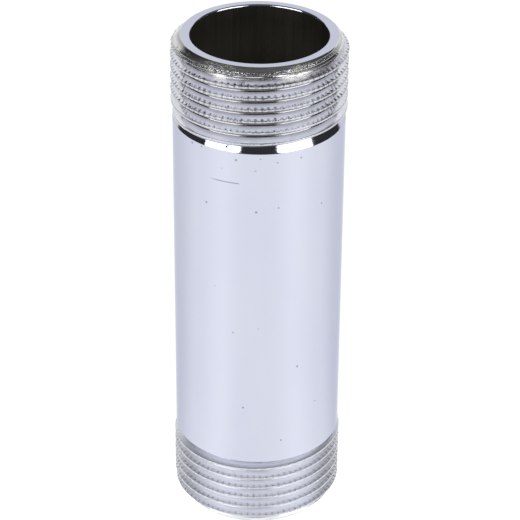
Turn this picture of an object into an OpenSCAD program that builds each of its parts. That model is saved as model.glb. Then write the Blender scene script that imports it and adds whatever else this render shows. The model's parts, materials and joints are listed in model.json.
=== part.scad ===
// Threaded pipe nipple: a straight brass tube, chrome plated, with a
// right-hand parallel pipe thread on each end and a plain barrel between.
//
// Millimetres, +Z up along the pipe. The origin is the centre of the lower
// end face, so the pipe stands on z = 0 and its front faces -Y.

/* [Pipe] */
// Length over both end faces
overall_l = 80; // [50:1:200]
// Outside diameter of the plain barrel
barrel_d = 25.95; // [25.2:0.05:26.2]
// Diameter of the bore
bore_d = 20.5; // [18:0.1:21.4]

/* [Threads] */
// Diameter over the thread crests
major_d = 26.38; // [26.2:0.01:26.44]
// Distance from one crest to the next
pitch = 1.814; // [1.6:0.001:2]
// Length of full-depth thread at the upper end, down to the barrel's shoulder
upper_thread_l = 11.45; // [9:0.05:18]
// Length of full-depth thread at the lower end, up to the barrel's shoulder
lower_thread_l = 11.85; // [9:0.05:18]
// Length of the cone between the upper thread's root and the barrel
upper_shoulder_l = 1.8; // [0.4:0.05:2.6]
// Length of the cone between the lower thread's root and the barrel
lower_shoulder_l = 0.6; // [0.4:0.05:2.6]
// Depth of a crest below the upper end face, at the front
upper_crest_depth = 2.54; // [1.82:0.01:3.6]
// Height of a crest above the lower end face, at the front
lower_crest_height = 2.08; // [1.82:0.01:3.6]

/* [Ends] */
// Outside diameter of each flat end face, inside its bevel
face_d = 23.3; // [22.2:0.1:23.6]
// Angle of the upper end's bevel to the pipe's axis
upper_bevel_a = 45; // [30:1:60]
// Angle of the lower end's bevel to the pipe's axis
lower_bevel_a = 37; // [30:1:60]
// Width of the small bevel at each mouth of the bore
mouth_bevel = 0.15; // [0.05:0.05:0.3]

/* [Hidden] */
// 55-degree thread form: depth of the cut, and the full widths of a ridge at
// its crest and at its foot, the foot being let into the tube by seat so that
// the two meet fully
seat = 0.08;
thread_h = 0.640327 * pitch;
crest_w = 0.2 * pitch;
foot_w = crest_w + 2 * (thread_h + seat) * tan(27.5);

bore_r = bore_d / 2;
barrel_r = barrel_d / 2;
face_r = face_d / 2;
crest_r = major_d / 2;
root_r = crest_r - thread_h;
foot_r = root_r - seat;

// Height of the first, clipped cross-section of a ridge
start_h = 0.16;
// Length over which a ridge dies away
fade_l = pitch / 4;
// Cross-sections in one turn of a ridge
turn_steps = 60;
// Direction of the front, seen from above
front_a = -90;

$fn = 96;

// Depth at which a bevel with this angle meets the radius r
function bevel_depth(r, bevel_a) = (r - face_r) / tan(bevel_a);

// One cross-section of a ridge, given the angle, the depth of its middle below
// the end face, the radius of its crest and the angle of the end bevel. Its four
// corners run down from the upper foot to the lower foot, and the bevel clips
// them.
function ridge_section(a, depth, top_r, bevel_a) = [
    for (j = [0:3])
        let (offset = [-foot_w, -crest_w, crest_w, foot_w][j] / 2)
        let (d = max(depth + offset, bevel_depth(foot_r, bevel_a) + j * start_h / 4))
        let (r = min([foot_r, top_r, top_r, foot_r][j], face_r + d * tan(bevel_a)))
        [r * cos(a), r * sin(a), -d]
];

// Right-hand ridge below an end face at z = 0, with a crest at crest_depth
// where the angle is crest_a. It starts in the end bevel and dies away half way
// along the shoulder's cone, which starts at thread_l.
module thread_ridge(thread_l, shoulder_l, crest_depth, crest_a, bevel_a) {
    first = bevel_depth(foot_r, bevel_a) + start_h - foot_w / 2;
    last = thread_l + shoulder_l / 2;
    steps = floor((last - first) / pitch * turn_steps);
    points = [
        for (i = [0:steps])
            let (depth = first + i * pitch / turn_steps)
            let (a = crest_a - (depth - crest_depth) / pitch * 360)
            let (fade = min(1, 0.1 + (last - depth) / fade_l))
            let (top_r = foot_r + (crest_r - foot_r) * fade)
            each ridge_section(a, depth, top_r, bevel_a)
    ];
    sides = [
        for (i = [0:steps - 1], j = [0:3])
            let (k = (j + 1) % 4)
            [4 * i + j, 4 * i + k, 4 * i + 4 + k, 4 * i + 4 + j]
    ];
    end = 4 * steps;
    caps = [[3, 2, 1, 0], [end, end + 1, end + 2, end + 3]];
    polyhedron(points, concat(sides, caps), convexity = 10);
}

// Half of the tube's outline, from the bore's mouth to the barrel's edge, as
// radius and distance from the end face
function end_outline(thread_l, shoulder_l, bevel_a) = [
    [bore_r, mouth_bevel],
    [bore_r + mouth_bevel, 0],
    [face_r, 0],
    [root_r, bevel_depth(root_r, bevel_a)],
    [root_r, thread_l],
    [barrel_r, thread_l + shoulder_l]
];

module pipe_body() {
    lower = end_outline(lower_thread_l, lower_shoulder_l, lower_bevel_a);
    upper = end_outline(upper_thread_l, upper_shoulder_l, upper_bevel_a);
    color("lightsteelblue")
        rotate_extrude()
            polygon([
                each lower,
                for (i = [len(upper) - 1:-1:0]) [upper[i][0], overall_l - upper[i][1]]
            ]);
}

module upper_thread() {
    color("silver")
        translate([0, 0, overall_l])
            thread_ridge(
                upper_thread_l, upper_shoulder_l, upper_crest_depth, front_a, upper_bevel_a
            );
}

// Turned end for end about the X axis, which keeps the thread right-handed
module lower_thread() {
    color("silver")
        rotate([180, 0, 0])
            thread_ridge(
                lower_thread_l, lower_shoulder_l, lower_crest_height, -front_a, lower_bevel_a
            );
}

pipe_body();
upper_thread();
lower_thread();
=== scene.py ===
import json
import math
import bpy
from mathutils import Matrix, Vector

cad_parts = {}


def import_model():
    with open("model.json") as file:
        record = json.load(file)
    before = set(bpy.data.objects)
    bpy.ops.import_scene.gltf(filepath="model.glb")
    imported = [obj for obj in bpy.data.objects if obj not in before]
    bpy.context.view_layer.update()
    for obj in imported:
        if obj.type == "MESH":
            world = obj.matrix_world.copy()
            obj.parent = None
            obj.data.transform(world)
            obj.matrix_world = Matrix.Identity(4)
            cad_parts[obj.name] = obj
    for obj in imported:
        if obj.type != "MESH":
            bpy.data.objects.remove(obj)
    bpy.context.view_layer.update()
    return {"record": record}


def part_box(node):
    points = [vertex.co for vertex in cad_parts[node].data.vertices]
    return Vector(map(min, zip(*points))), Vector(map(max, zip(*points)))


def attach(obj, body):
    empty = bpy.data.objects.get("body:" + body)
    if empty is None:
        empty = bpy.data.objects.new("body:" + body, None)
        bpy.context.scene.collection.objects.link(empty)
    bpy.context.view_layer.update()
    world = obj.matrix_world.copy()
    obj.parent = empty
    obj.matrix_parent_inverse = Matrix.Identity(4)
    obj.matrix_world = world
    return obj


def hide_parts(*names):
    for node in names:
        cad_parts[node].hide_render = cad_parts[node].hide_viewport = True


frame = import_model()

from types import SimpleNamespace

import bpy
import numpy as np
from mathutils import Matrix, Vector

# Threaded pipe nipple, seen from the front and above. The pipe's lengths are
# millimetres until a mesh is made, and the studio's are metres. The front of the
# pipe faces -Y. "Depth" is measured along the pipe from the nearer end face.

MM = 0.001
TAU = 2 * math.pi


# ---------------------------------------------------------------- dimensions

mounts = {m["name"]: m for m in frame["record"]["mounts"]}
overall_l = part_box("pipe_body")[1].z / MM
bore_r = mounts["bore"]["dims"]["r_mm"]
barrel_r = mounts["barrel"]["dims"]["r_mm"]
crest_r = mounts["upper_thread"]["dims"]["r_mm"]

# Thread form: pitch, depth of cut, flank angle and root radius
PITCH = 1.814
FLANK = math.radians(27.5)
ROOT_R = 0.28
thread_h = 0.640327 * PITCH
root_r = crest_r - thread_h

# End faces: radius inside the bevel and the edge's rounding
FACE_R = 11.65
FACE_EDGE_R = 0.06

# Radius of the tube where it is hidden under the sleeves, and how far a sleeve
# laps onto the barrel
SEAM_R = 11.4
LAP = 0.12

# Points nearer than this to a sleeve's first or last ring join it
SNAP = 0.004

# Knurl: dimples round both edges of the crests, DIMPLE_OFF from their middles,
# with a faint groove across the crest between them. They stay KNURL_FLOOR above
# the root, and fade out over KNURL_FADE.
DIMPLES = 83
DIMPLE_STEPS = 7
DIMPLE_DEPTH = 0.11
DIMPLE_HALF_W = 0.2
DIMPLE_HALF_H = 0.12
DIMPLE_OFF = 0.24
GROOVE = 0.55
KNURL_FLOOR = 0.5
KNURL_FADE = 0.5
columns = DIMPLES * DIMPLE_STEPS

# Spread of the dimples' strength, of their place round the crest (as a part of
# the distance between two) and of their place along the pipe
STRENGTHS = (0.5, 1.2)
SHIFT = 0.06
DROP = 0.03

# How far the burr reaches from the bevel's edge, and how deep a nick of size 1 is
BURR_REACH = 0.7
NICK_DEPTH = 0.3

# The two ends, with degrees round the pipe counted from the front:
# thread_l, crest_depth   length of full thread, depth of a crest at the front
# shoulder_l, bevel_a     length of the shoulder's cone, slope of the end bevel
# edge_r, crest_edge_r    rounding of the barrel's edge and of the crests' edges
# mouth_r                 rounding of the bore's mouth
# knurl_l, burr           how far the knurl reaches, height of the bevel's burr
# worn, torn              degrees where the bevel's plate is worn, and degrees
#                         and half width where the bevel tore the first crest,
#                         painted white there as a highlight
# nicks                   degrees, depth and size of each nick in the shoulder
# dull                    how matt the plate is, and how much lighter it is
#                         painted, with less painted shade in root and dimples
upper_end = SimpleNamespace(
    thread_l=mounts["upper_thread"]["dims"]["length_mm"], crest_depth=2.54,
    shoulder_l=1.8, bevel_a=math.radians(45), edge_r=0.4, crest_edge_r=0.03,
    mouth_r=0.3, knurl_l=9.3, burr=0.14, worn=(-37, 26), torn=((26, 10), (-28, 5)),
    nicks=((-21, 12.7, 0.4),), dull=0.0, seed=7,
)
lower_end = SimpleNamespace(
    thread_l=mounts["lower_thread"]["dims"]["length_mm"], crest_depth=2.08,
    shoulder_l=0.6, bevel_a=math.radians(37), edge_r=0.07, crest_edge_r=0.06,
    mouth_r=0.15, knurl_l=11.2, burr=0.03, worn=(150,), torn=(),
    nicks=(), dull=1.0, seed=11,
)

# Heights of the plain barrel's two ends
barrel_low = lower_end.thread_l + lower_end.shoulder_l
barrel_high = overall_l - upper_end.thread_l - upper_end.shoulder_l


# ------------------------------------------------------------- mesh helpers

def make_object(name, points, faces, materials, face_material, masks):
    """A closed piece on the root body, from points in millimetres. masks are
    named values at the points, for the material."""
    mesh = bpy.data.meshes.new(name)
    mesh.from_pydata((np.asarray(points) * MM).tolist(), [], faces)
    for material in materials:
        mesh.materials.append(material)
    mesh.polygons.foreach_set("material_index", face_material)
    for mask, values in masks.items():
        mesh.attributes.new(mask, "FLOAT", "POINT").data.foreach_set("value", values)
    mesh.shade_smooth()
    mesh.set_sharp_from_angle(angle=math.radians(38))
    mesh.validate()
    piece = bpy.data.objects.new(name, mesh)
    bpy.context.scene.collection.objects.link(piece)
    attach(piece, "root")
    return piece


def grid_faces(index):
    """Faces of a grid of point numbers. Cells whose corners have run together
    become triangles, or go."""
    a, b = index[:-1, :-1].ravel(), index[1:, :-1].ravel()
    c, d = index[1:, 1:].ravel(), index[:-1, 1:].ravel()
    faces = []
    for corners in zip(a.tolist(), b.tolist(), c.tolist(), d.tolist()):
        kept = [p for i, p in enumerate(corners) if p != corners[i - 1]]
        if len(set(kept)) > 2:
            faces.append(kept)
    return faces


def arc(x, y, radius, start, end, steps):
    """Points of an arc round x, y, angles in degrees, ends included."""
    angles = np.radians(np.linspace(start, end, steps + 1))
    return [(x + radius * math.cos(a), y + radius * math.sin(a)) for a in angles]


def degrees_off(side, at):
    """Degrees round the pipe from at, -180 to 180."""
    return (side - at + 180) % 360 - 180


# ----------------------------------------------------------------- threads

def corner_span(edge_r):
    """Where the rounding of a corner starts and ends, from the middle of the
    flat that it rounds. Crest and root have the same flat."""
    corner = PITCH / 4 - thread_h / 2 * math.tan(FLANK)
    turn = math.pi / 2 - FLANK
    start = corner - edge_r * math.tan(turn / 2)
    return corner, start, start + edge_r * math.sin(turn)


def corner_profile(u, edge_r):
    """Depth below a flat at a distance u from its middle, down the flank, with
    the corner rounded."""
    corner, start, end = corner_span(edge_r)
    inside = np.clip(u - start, 0, end - start)
    rounded = edge_r - np.sqrt(edge_r ** 2 - inside ** 2)
    return np.where(u < end, rounded, (u - corner) / math.tan(FLANK))


def thread_profile(u, crest_edge_r):
    """Depth of the thread below its crest, at a distance u along the pipe."""
    u = np.abs((u + PITCH / 2) % PITCH - PITCH / 2)
    crest = corner_profile(u, crest_edge_r)
    root = thread_h - corner_profile(PITCH / 2 - u, ROOT_R)
    return np.where(u < PITCH / 4, crest, root)


def pitch_samples(crest_edge_r):
    """Places along one pitch, close together where the profile bends."""
    crest_start, crest_end = corner_span(crest_edge_r)[1:]
    root_end = corner_span(ROOT_R)[2]
    half = np.concatenate([
        [crest_start, (crest_start + crest_end) / 2, crest_end],
        DIMPLE_OFF + DIMPLE_HALF_H * np.array([-0.4, 0, 0.5, 1.5]),
        PITCH / 2 - np.linspace(root_end, 0, 3, endpoint=False),
    ])
    return np.concatenate([[0], half, [PITCH / 2], PITCH - half[::-1]])


def dimples(depth, along, end):
    """Dents that the knurling wheel leaves, as parts of DIMPLE_DEPTH, along being
    the distance below the middle of the nearest crest."""
    rng = np.random.default_rng(end.seed)
    strength = rng.uniform(*STRENGTHS, (len(depth) // 2 + 1, DIMPLES))
    shift = rng.uniform(-SHIFT, SHIFT, DIMPLES)
    drop = rng.uniform(-DROP, DROP, DIMPLES)
    column = np.arange(columns)
    dimple = column // DIMPLE_STEPS
    place = (column % DIMPLE_STEPS + 0.5) / DIMPLE_STEPS - 0.5 + shift[dimple]
    across = place * TAU * crest_r / DIMPLES / DIMPLE_HALF_W
    down = (np.abs(along) - DIMPLE_OFF - drop[dimple]) / DIMPLE_HALF_H
    turn = np.clip(np.round((depth - along) / PITCH).astype(int), 0, len(strength) - 1)
    shape = np.clip(1.2 - np.hypot(across, down), 0, 1)
    groove = GROOVE * np.clip(1 - np.abs(across), 0, 1) * (np.abs(along) < DIMPLE_OFF)
    shape = np.maximum(shape, groove) * strength[turn, dimple]
    return shape * np.clip((end.knurl_l - depth) / KNURL_FADE, 0, 1)


def ragged(end):
    """Height of the bevel's burr at each column, in lumps a few columns long."""
    rng = np.random.default_rng(end.seed + 1)
    fine = rng.uniform(0, 1, columns)
    broad = np.repeat(rng.uniform(0, 1, DIMPLES), DIMPLE_STEPS)
    return end.burr * np.clip(broad * 2 - 0.6, 0, 1) * fine


def helix_rows(end, bottom):
    """Depth of every row at each column, the rows of one pitch, and each
    column's crest depth. A row drops behind by one pitch in a full turn."""
    samples = pitch_samples(end.crest_edge_r)
    start = end.crest_depth % PITCH - 2 * PITCH
    turns = math.ceil((bottom - start) / PITCH) + 1
    rows = np.concatenate([start + t * PITCH + samples for t in range(turns)])
    rise = PITCH * np.arange(columns)[None, :] / columns
    return rows[:, None] - rise, len(samples), end.crest_depth - rise


def sleeve_rings(end, slope):
    """Radius and depth of the plain rings that close a sleeve: the first and last
    of its threaded surface, the rounded edge of the barrel, the hidden inside and
    the rounded edge of the end face."""
    top = FACE_EDGE_R * (1 - math.sin(end.bevel_a))
    edge_l = end.thread_l + end.shoulder_l
    turn = math.atan(slope)
    edge_cut = end.edge_r * math.tan(turn / 2)
    bottom = edge_l - edge_cut - 0.02
    rings = [
        (FACE_R + top * math.tan(end.bevel_a), top),
        (root_r + (bottom - end.thread_l) * slope, bottom),
    ]
    for part in (1, 0.75, 0.5, 0.25, 0):
        rings.append((
            barrel_r - end.edge_r * (1 - math.cos(turn * part)),
            edge_l + edge_cut - end.edge_r * math.sin(turn * part),
        ))
    rings += [(barrel_r, edge_l + LAP), (SEAM_R, edge_l + LAP), (SEAM_R, 0.0)]
    rings += [(FACE_R - FACE_EDGE_R, 0.0), (FACE_R - FACE_EDGE_R * 0.4, 0.004)]
    return rings


def sleeve_surface(end, side, depth, crest_line, slope):
    """Radius of the threaded surface, where it is the shoulder's cone, and the
    masks for its material, all at every row and column."""
    # Thread, dying away half way along the shoulder
    off_crest = depth - crest_line
    height = thread_h - thread_profile(off_crest, end.crest_edge_r)
    crest_at = crest_line + np.round(off_crest / PITCH) * PITCH
    last = end.thread_l + end.shoulder_l / 2
    fade = np.clip(0.1 + (last - crest_at) / (PITCH / 4), 0, 1)
    radius = root_r + height * fade
    bevel = FACE_R + depth * math.tan(end.bevel_a)
    clear = np.clip((bevel - radius) / 0.1, 0, 1)
    dimple = dimples(depth, depth - crest_at, end) * (height > KNURL_FLOOR) * clear
    radius -= DIMPLE_DEPTH * dimple

    # Shoulder, with its nicks
    cone = root_r + (depth - end.thread_l) * slope
    for at, down, size in end.nicks:
        gap = np.hypot(degrees_off(side, at) * math.radians(barrel_r), depth - down)
        cone -= NICK_DEPTH * size * np.exp(-(gap / size * 2) ** 2) * (cone < barrel_r)
    on_cone = cone >= radius
    radius = np.maximum(radius, cone)

    # End bevel, with a ragged burr where it cuts the crest
    burr = ragged(end) * np.clip(1 - np.abs(bevel - radius) / BURR_REACH, 0, 1)
    burr *= np.clip((radius - root_r) / thread_h * 3 - 1, 0, 1)
    on_bevel = bevel <= radius
    radius = np.minimum(radius, bevel) + burr

    # Worn patches half way down the bevel, and where the bevel tore the first crest
    # under it, a patch with a painted highlight
    worn = sum(np.exp(-(degrees_off(side, at) / 5) ** 2) for at in end.worn)
    worn = worn * np.clip(1 - np.abs(depth - 0.8) / 0.6, 0, 1)
    torn = 0 * side
    for at, half in end.torn:
        torn = torn + np.exp(-(degrees_off(side, at) / half) ** 4)
    torn = torn * np.clip(2 - np.abs(depth - 1.65) / 0.3, 0, 1)

    # Masks for the material: the root and knurl ones also set its painted shade, and the one
    # where the bevel tore the crest sets its painted highlight
    masks = {
        "knurl": dimple,
        "bevel": on_bevel,
        "lip": np.clip(1 - np.abs(depth - 1.8) / 0.8, 0, 1),
        "root": np.clip(1 - height / 0.3, 0, 1),
        "crest": (height > thread_h - 0.02) * fade,
        "worn": worn,
        "torn": torn,
    }
    return radius, on_cone, masks


def thread_sleeve(name, node, end, front, place):
    """The threaded end as one closed sleeve: end bevel, thread, knurl and
    shoulder outside, and a plain hidden cylinder inside. place turns points
    with z = -depth into the pipe's frame, and front is the angle of the front."""
    side = np.arange(columns) * 360 / columns
    angle = front + np.radians(side)
    slope = (barrel_r - root_r) / end.shoulder_l
    rings = sleeve_rings(end, slope)
    top, bottom = rings[0][1], rings[1][1]
    depth, per_turn, crest_line = helix_rows(end, bottom)
    radius, on_cone, masks = sleeve_surface(end, side, depth, crest_line, slope)

    # Point numbers, with everything past either limit on that limit's ring. The
    # last column meets the first one a pitch further down.
    inside = (depth > top + SNAP) & (depth < bottom - SNAP)
    count = int(inside.sum())
    ring = np.arange(columns)
    high, low = count + ring, count + columns + ring
    number = np.zeros(depth.shape, int)
    number[inside] = np.arange(count)
    number = np.where(depth <= top + SNAP, high, number)
    number = np.where(depth >= bottom - SNAP, low, number)
    wrapped = np.concatenate([np.full(per_turn, high[0]), number[:-per_turn, 0]])
    faces = grid_faces(np.hstack([number, wrapped[:, None]]))

    points = [np.stack([radius * np.cos(angle), radius * np.sin(angle), -depth], -1)[inside]]
    for r, d in rings:
        points.append(np.stack([r * np.cos(angle), r * np.sin(angle), np.full(columns, -d)], -1))
    order = list(range(1, len(rings))) + [0]
    index = np.array([count + i * columns + ring for i in order])
    threaded = len(faces)
    faces += grid_faces(np.hstack([index, index[:, :1]]))

    # The shoulder and the end face are plated like the barrel, up to the ring
    # where the bevel starts
    smooth = np.concatenate([on_cone[inside], np.ones(columns * len(rings), bool)])
    smooth[high] = False
    polished = [int(all(smooth[p] for p in face)) for face in faces[:threaded]]
    polished += [1] * (len(faces) - threaded)
    beside = np.zeros(columns * len(rings))
    masks = {key: np.concatenate([values[inside], beside]) for key, values in masks.items()}
    # The lower end's plate is duller and painted lighter, with less painted shade
    masks["dull"] = np.full(count + len(beside), end.dull)
    piece = make_object(
        name, place(np.concatenate(points)), faces,
        [thread_metal, chrome], polished, masks,
    )
    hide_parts(node)


# -------------------------------------------------------------------- tube

def tube_outline():
    """Closed outline of the tube as radius and height, going up the outside
    and down the bore. The threaded ends are recessed under the sleeves."""
    low_seam, high_seam = barrel_low + LAP, barrel_high - LAP
    upper, lower = upper_end.mouth_r, lower_end.mouth_r
    outline = [(SEAM_R, 0.0), (SEAM_R, low_seam)]
    outline += [(barrel_r, h) for h in np.linspace(low_seam, high_seam, 28)]
    outline += [(SEAM_R, high_seam), (SEAM_R, overall_l)]
    outline += arc(bore_r + upper, overall_l - upper, upper, 90, 180, 8)
    outline += [(bore_r, h) for h in np.linspace(overall_l - 2, 2, 24)]
    outline += arc(bore_r + lower, lower, lower, 180, 270, 6)
    return np.array(outline)


def tube():
    """The plain tube, plated outside and bare in the bore, which is painted near black as shade.
    """
    steps = 360
    outline = tube_outline()
    angle = np.arange(steps) * TAU / steps
    r, h = outline[:, :1], outline[:, 1:]
    points = np.stack(
        [r * np.cos(angle), r * np.sin(angle), np.broadcast_to(h, (len(outline), steps))], -1
    ).reshape(-1, 3)
    index = np.arange(len(points)).reshape(len(outline), steps)
    index = np.vstack([index, index[:1]])
    faces = grid_faces(np.hstack([index, index[:, :1]])[:, ::-1])
    radii = np.hypot(points[:, 0], points[:, 1])
    in_bore = [int(all(radii[p] < bore_r + 0.02 for p in face)) for face in faces]
    piece = make_object(
        "plated_tube", points, faces, [chrome, bore_wall_painted_shade], in_bore, {}
    )
    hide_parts("pipe_body")


# --------------------------------------------------------------- materials

class Nodes:
    """A node tree under construction, with short ways to add its nodes."""

    def __init__(self, tree):
        self.tree = tree

    def add(self, kind, **settings):
        made = self.tree.nodes.new(kind)
        for key, value in settings.items():
            setattr(made, key, value)
        return made

    def feed(self, socket, value):
        if isinstance(value, bpy.types.NodeSocket):
            self.tree.links.new(value, socket)
        else:
            socket.default_value = value

    def maths(self, operation, first, second=0.0, clamp=False):
        made = self.add("ShaderNodeMath", operation=operation, use_clamp=clamp)
        self.feed(made.inputs[0], first)
        self.feed(made.inputs[1], second)
        return made.outputs[0]

    def plus(self, first, second, clamp=False):
        return self.maths("ADD", first, second, clamp)

    def minus(self, first, second):
        return self.maths("SUBTRACT", first, second)

    def times(self, first, second, clamp=False):
        return self.maths("MULTIPLY", first, second, clamp)

    def length(self, x, y):
        return self.maths("SQRT", self.plus(self.times(x, x), self.times(y, y)))

    def axes(self, vector):
        split = self.add("ShaderNodeSeparateXYZ")
        self.feed(split.inputs[0], vector)
        return list(split.outputs)


class Shade(Nodes):
    """A material under construction."""

    def __init__(self, name):
        self.material = bpy.data.materials.new(name)
        self.material.use_nodes = True
        super().__init__(self.material.node_tree)
        self.shader = self.tree.nodes["Principled BSDF"]
        self.place = self.add("ShaderNodeTexCoord").outputs["Object"]

    def scaled(self, x, y, z, tilt=0.0):
        """Object coordinates in millimetres, stretched along each axis."""
        made = self.add("ShaderNodeMapping")
        self.feed(made.inputs["Vector"], self.place)
        made.inputs["Rotation"].default_value = (tilt, tilt / 2, 0)
        made.inputs["Scale"].default_value = (x / MM, y / MM, z / MM)
        return made.outputs[0]

    def noise(self, vector, detail=2.0, rough=0.5):
        made = self.add("ShaderNodeTexNoise")
        self.feed(made.inputs["Vector"], vector)
        made.inputs["Scale"].default_value = 1.0
        made.inputs["Detail"].default_value = detail
        made.inputs["Roughness"].default_value = rough
        return made.outputs["Fac"]

    def between(self, value, low, high, out_low=0.0, out_high=1.0):
        """value from low to high, turned into out_low to out_high."""
        made = self.add("ShaderNodeMapRange", interpolation_type="SMOOTHSTEP")
        for socket, number in zip(made.inputs[:5], (value, low, high, out_low, out_high)):
            self.feed(socket, number)
        return made.outputs[0]

    def mix(self, factor, first, second):
        made = self.add("ShaderNodeMix", data_type="RGBA")
        self.feed(made.inputs["Factor"], factor)
        for socket, colour in zip((made.inputs[6], made.inputs[7]), (first, second)):
            self.feed(socket, (*colour, 1) if isinstance(colour, tuple) else colour)
        return made.outputs[2]

    def mask(self, name):
        return self.add("ShaderNodeAttribute", attribute_name=name).outputs["Fac"]

    def unrolled(self):
        """Millimetres round the barrel from the front, and up it."""
        x, y, z = self.axes(self.place)
        turn = self.maths("ARCTAN2", x, self.times(y, -1.0))
        return self.times(turn, barrel_r), self.maths("DIVIDE", z, MM)

    def pits(self, size, share, low, high):
        """Spots on the barrel: cells of the given size, a share of them with a
        pit whose radius runs between low and high, both as parts of a cell."""
        made = self.add("ShaderNodeTexVoronoi", voronoi_dimensions="2D")
        flat = self.add("ShaderNodeCombineXYZ")
        for socket, value in zip(flat.inputs, self.unrolled()):
            self.feed(socket, value)
        self.feed(made.inputs["Vector"], flat.outputs[0])
        made.inputs["Scale"].default_value = 1 / size
        pick = self.add("ShaderNodeSeparateColor")
        self.feed(pick.inputs[0], made.outputs["Color"])
        radius = self.between(pick.outputs[0], 0, 1, low, high)
        near = self.minus(1.0, self.maths("DIVIDE", made.outputs["Distance"], radius))
        near = self.times(near, 2.0, clamp=True)
        return self.times(near, self.maths("LESS_THAN", pick.outputs[1], share))

    def bump(self, height, strength, distance, normal=None):
        """Bump with its distance in millimetres, on top of another normal."""
        made = self.add("ShaderNodeBump")
        made.inputs["Strength"].default_value = strength
        made.inputs["Distance"].default_value = distance * MM
        self.feed(made.inputs["Height"], height)
        if normal is not None:
            self.feed(made.inputs["Normal"], normal)
        return made.outputs[0]

    def finish(self, colour, roughness, normal, metallic=1.0):
        self.feed(self.shader.inputs["Base Color"], colour)
        self.feed(self.shader.inputs["Roughness"], roughness)
        self.feed(self.shader.inputs["Normal"], normal)
        self.feed(self.shader.inputs["Metallic"], metallic)
        return self.material


def tube_chrome():
    """Polished plate: faint cloudiness, hairlines from handling, pits and one
    scratch on the barrel, and turning marks on the upper shoulder."""
    m = Shade("tube_chrome")
    side, height = m.unrolled()
    cloud = m.noise(m.scaled(0.12, 0.12, 0.05), 3.0)
    streaks = m.noise(m.scaled(0.25, 0.25, 9.0), 1.0)
    hairs = m.between(m.noise(m.scaled(0.2, 0.2, 4.5, 0.12), 3.0, 0.65), 0.69, 0.74)
    on_shoulder = m.between(height, barrel_high - 0.15, barrel_high + 0.25)
    turned = m.times(m.noise(m.scaled(1.2, 1.2, 3.0), 4.0, 0.7), on_shoulder)

    # Pits on the barrel, closer together near its upper end
    near_end = m.between(height, barrel_high - 3.25, barrel_high - 2.25)
    close = m.times(m.pits(2.6, 0.6, 0.05, 0.1), near_end)
    pits = m.maths("MAXIMUM", m.pits(7.0, 0.35, 0.015, 0.035), close)
    on_barrel = m.times(
        m.between(height, barrel_low - 0.05, barrel_low + 0.15),
        m.between(height, barrel_high + 0.15, barrel_high - 0.05),
    )
    pits = m.times(pits, on_barrel)

    # Scratch round the barrel, 5 mm below its upper end and left of the front
    off_line = m.maths("ABSOLUTE", m.minus(height, barrel_high - 5))
    reach = m.times(m.between(side, -8.0, -6.0), m.between(side, -2.6, -3.2))
    scratch = m.times(m.between(off_line, 0.12, 0.05), reach)

    colour = m.mix(m.between(cloud, 0.35, 0.65), (0.555, 0.578, 0.682), (0.575, 0.592, 0.686))
    colour = m.mix(m.times(hairs, 0.2), colour, (0.4, 0.42, 0.48))
    marred = m.times(m.maths("MAXIMUM", pits, scratch), 0.8)
    colour = m.mix(marred, colour, (0.22, 0.23, 0.25))
    roughness = m.plus(m.between(cloud, 0.3, 0.7, 0.045, 0.08), m.times(hairs, 0.12))
    normal = m.bump(streaks, 0.06, 0.02)
    normal = m.bump(m.plus(m.times(hairs, 0.3), pits), 0.25, -0.01, normal)
    normal = m.bump(turned, 0.25, 0.03, normal)
    m.shader.inputs["Specular Tint"].default_value = (0.75, 0.77, 0.85, 1)
    return m.finish(colour, roughness, normal)


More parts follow.
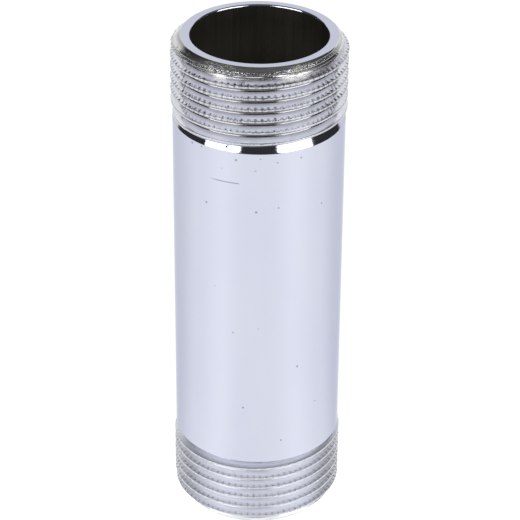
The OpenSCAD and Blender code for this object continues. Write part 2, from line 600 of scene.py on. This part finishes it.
def thread_chrome():
    """Plate over cut metal: turning marks along the thread, painted shade in the
    knurl's dimples and the root, rough on the crests, olive where the end bevel is
    worn, and a painted highlight, white and rough, where the bevel tore the first
    crest. The lower end is duller and painted lighter, with less painted shade."""
    m = Shade("thread_chrome")
    cloud = m.noise(m.scaled(0.5, 0.5, 0.5), 3.0)
    marks = m.noise(m.scaled(0.3, 0.3, 9.0), 3.0, 0.7)
    grains = m.noise(m.scaled(2.2, 2.2, 2.2), 3.0, 0.6)
    patches = m.noise(m.scaled(0.7, 0.7, 2.5), 4.0, 0.65)
    crest, dull = m.mask("crest"), m.mask("dull")
    bruised = m.times(crest, m.between(grains, 0.3, 0.6, 0.4, 1.0))
    # Painted shade in the thread's root, weaker on the lower end
    root_shade = m.times(m.mask("root"), m.minus(0.75, m.times(dull, 0.6)))
    # Painted shade in the knurl's dimples, patchy, weaker on the lower end
    dimple = m.times(m.mask("knurl"), m.between(grains, 0.35, 0.55, 0.8, 1.4), clamp=True)
    dimple = m.times(dimple, m.minus(0.85, m.times(dull, 0.4)))
    worn = m.times(m.mask("worn"), m.between(grains, 0.42, 0.58))
    cut = m.times(m.mask("bevel"), m.between(patches, 0.44, 0.66, 0.05, 0.6))
    lip = m.times(m.mask("lip"), m.between(grains, 0.35, 0.55))
    # Painted highlight: white where the bevel tore the first crest
    torn = m.times(m.mask("torn"), m.between(grains, 0.36, 0.5))

    colour = m.mix(m.between(cloud, 0.35, 0.65), (0.66, 0.672, 0.73), (0.71, 0.72, 0.77))
    for factor, tint in (
        # Painted light: the lower end's plate painted lighter than the upper's
        (dull, (0.79, 0.805, 0.87)),
        (m.times(m.between(marks, 0.45, 0.7), 0.2), (0.4, 0.42, 0.48)),
        (m.times(bruised, 0.6), (0.42, 0.43, 0.45)),
        # Painted shade in the root
        (root_shade, (0.215, 0.205, 0.21)),
        # Painted shade in the knurl's dimples
        (dimple, (0.12, 0.12, 0.13)),
        (m.times(m.plus(worn, cut, clamp=True), 0.75), (0.5, 0.5, 0.33)),
        # Painted highlight where the bevel tore the first crest
        (torn, (1.0, 1.0, 0.98)),
    ):
        colour = m.mix(factor, colour, tint)
    roughness = m.between(marks, 0.3, 0.7, 0.08, 0.16)
    for factor, added in ((worn, 0.35), (dull, 0.3), (lip, 0.3), (cut, 0.2), (torn, 0.35)):
        roughness = m.plus(roughness, m.times(factor, added))
    normal = m.bump(marks, 0.3, 0.02)
    normal = m.bump(grains, 0.25, 0.03, normal)
    rough_crest = m.times(crest, m.noise(m.scaled(3.5, 3.5, 3.5), 2.0, 0.6))
    normal = m.bump(rough_crest, 1.0, 0.08, normal)
    return m.finish(colour, roughness, normal)


def bore_metal():
    """Bare and matt, with draw marks along the pipe and old stains, and painted near
    black as shade inside the bore, lighter below the upper mouth."""
    m = Shade("bore_metal")
    stains = m.noise(m.scaled(0.18, 0.18, 0.08), 4.0)
    marks = m.noise(m.scaled(3.0, 3.0, 0.05), 2.0)
    height = m.unrolled()[1]
    # Painted shade: near black inside the bore, with stains
    colour = m.mix(m.between(stains, 0.35, 0.7), (0.022, 0.021, 0.017), (0.045, 0.04, 0.028))
    below_mouth = m.between(height, overall_l - 1, overall_l - 9)
    colour = m.mix(below_mouth, colour, (0.09, 0.085, 0.07))
    roughness = m.between(marks, 0.3, 0.7, 0.4, 0.52)
    return m.finish(colour, roughness, m.bump(marks, 0.15, 0.02), 0.6)


# ------------------------------------------------------------------- pieces

chrome, thread_metal, bore_wall_painted_shade = tube_chrome(), thread_chrome(), bore_metal()

tube()
thread_sleeve(
    "upper_threaded_end", "upper_thread", upper_end, -TAU / 4, lambda p: p + [0, 0, overall_l]
)
thread_sleeve("lower_threaded_end", "lower_thread", lower_end, TAU / 4, lambda p: p * [1, -1, -1])


# -------------------------------------------------------------- surroundings

def floor():
    """Pale floor a hair under the pipe that glows with painted light rather than being
    lit: brightest under the softboxes, even behind the pipe, and falling off in
    front into painted shade, which only the chrome shows."""
    half, drop = 4.0, -0.05 * MM
    mesh = bpy.data.meshes.new("floor")
    corners = [(x * half, y * half, drop) for x, y in ((-1, -1), (1, -1), (1, 1), (-1, 1))]
    mesh.from_pydata(corners, [], [(0, 1, 2, 3)])
    ground = bpy.data.objects.new("floor", mesh)
    bpy.context.scene.collection.objects.link(ground)

    # Direction from the pipe, -1 in front of it and 1 behind it
    m = Shade("floor")
    x, y, _ = m.axes(m.place)
    reach = m.length(x, y)
    behind = m.maths("DIVIDE", y, m.maths("MAXIMUM", reach, 0.0001))

    # Painted light from the front, round to the back, as a ramp of at most 1,
    # brightest where the softboxes are
    levels = [(0.0, 1.12), (0.146, 1.22), (0.43, 1.11), (0.78, 0.97), (1.0, 0.97)]
    brightest, darkest = 1.25, 0.2
    ramp = m.add("ShaderNodeValToRGB")
    ramp.color_ramp.interpolation = "EASE"
    for spot, _ in levels[1:-1]:
        ramp.color_ramp.elements.new(spot)
    for element, (spot, level) in zip(ramp.color_ramp.elements, levels):
        element.position = spot
        element.color = (*[level / brightest] * 3, 1)
    m.feed(ramp.inputs["Fac"], m.times(m.plus(behind, 1.0), 0.5))

    # Painted shade on the floor in front of the pipe, seen in the chrome but not by the camera
    front = m.times(m.between(behind, -0.86, -0.94), m.between(reach, 0.17, 0.3))
    seen = m.add("ShaderNodeLightPath").outputs["Is Camera Ray"]
    front = m.times(front, m.minus(1.0, seen))
    paper = m.noise(m.scaled(0.02, 0.02, 0.02), 3.0)
    roughness = m.between(paper, 0.3, 0.7, 0.75, 0.95)
    m.finish((0.1, 0.1, 0.1, 1), roughness, m.bump(paper, 0.05, 0.5), 0.0)
    m.feed(m.shader.inputs["Emission Color"], ramp.outputs["Color"])
    m.feed(m.shader.inputs["Emission Strength"], m.between(front, 0, 1, brightest, darkest))
    m.shader.inputs["Specular IOR Level"].default_value = 0.0
    mesh.materials.append(m.material)


def softbox(name, azimuth):
    """Square light aimed at the pipe, azimuth degrees round from the front."""
    turn, lift, distance = math.radians(azimuth), math.radians(29), 1.3
    place = Vector((
        math.sin(turn) * math.cos(lift), -math.cos(turn) * math.cos(lift), math.sin(lift)
    )) * distance
    light = bpy.data.lights.new(name, "AREA")
    light.shape = "RECTANGLE"
    light.size, light.size_y = 1.04, 1.0
    light.energy = 9.8
    lamp = bpy.data.objects.new(name, light)
    lamp.location = place
    lamp.rotation_euler = (-place).to_track_quat("-Z", "Y").to_euler()
    bpy.context.scene.collection.objects.link(lamp)


def world():
    """Dim studio as the chrome reflects it, with a pale backdrop behind the pipe
    up to 40 degrees. Past the edge of the floor it looks plain white."""
    sky = bpy.data.worlds.new("studio")
    bpy.context.scene.world = sky
    sky.use_nodes = True
    m = Nodes(sky.node_tree)
    backdrop, overhead, dimmest = 0.95, 0.08, 0.04

    def step(value, start, width):
        return m.maths("DIVIDE", m.minus(value, start), width, clamp=True)

    x, y, z = m.axes(m.add("ShaderNodeTexCoord").outputs["Generated"])
    behind = step(m.maths("DIVIDE", y, m.length(x, y)), 0.62, 0.08)
    low = m.minus(1.0, step(z, 0.6, 0.12))
    light = m.times(m.times(behind, low), backdrop)
    dim = m.plus(m.times(step(z, 0.45, 0.4), overhead), dimmest)
    seen = m.add("ShaderNodeLightPath").outputs["Is Camera Ray"]
    background = sky.node_tree.nodes["Background"]
    m.feed(background.inputs["Strength"], m.maths("MAXIMUM", m.plus(light, dim), seen))
    background.inputs["Color"].default_value = (1, 1, 1, 1)


def camera():
    """The pipe seen from in front and 30.5 degrees above, from 352 mm away. The
    focal length and the shift are in pixels of a square frame."""
    elevation, distance, lean = math.radians(30.47), 0.35194, math.radians(0.408)
    frame_px, focal_px, shift_x_px, shift_y_px = 520, 2263.9, 2.05, 8.49
    sensor_mm = 36
    middle = Vector((0, 0, overall_l * MM / 2))
    offset = Vector((0, -math.cos(elevation), math.sin(elevation))) * distance
    lens = bpy.data.cameras.new("camera")
    lens.sensor_width = sensor_mm
    lens.lens = sensor_mm * focal_px / frame_px
    lens.shift_x = shift_x_px / frame_px
    lens.shift_y = shift_y_px / frame_px
    lens.clip_start = 0.01
    eye = bpy.data.objects.new("camera", lens)
    turn = (-offset).to_track_quat("-Z", "Y").to_matrix() @ Matrix.Rotation(lean, 3, "Z")
    eye.matrix_world = Matrix.Translation(middle + offset) @ turn.to_4x4()
    bpy.context.scene.collection.objects.link(eye)
    bpy.context.scene.camera = eye


floor()
world()
softbox("softbox_left", -50)
softbox("softbox_right", 50)
camera()
bpy.context.scene.view_settings.view_transform = "Standard"
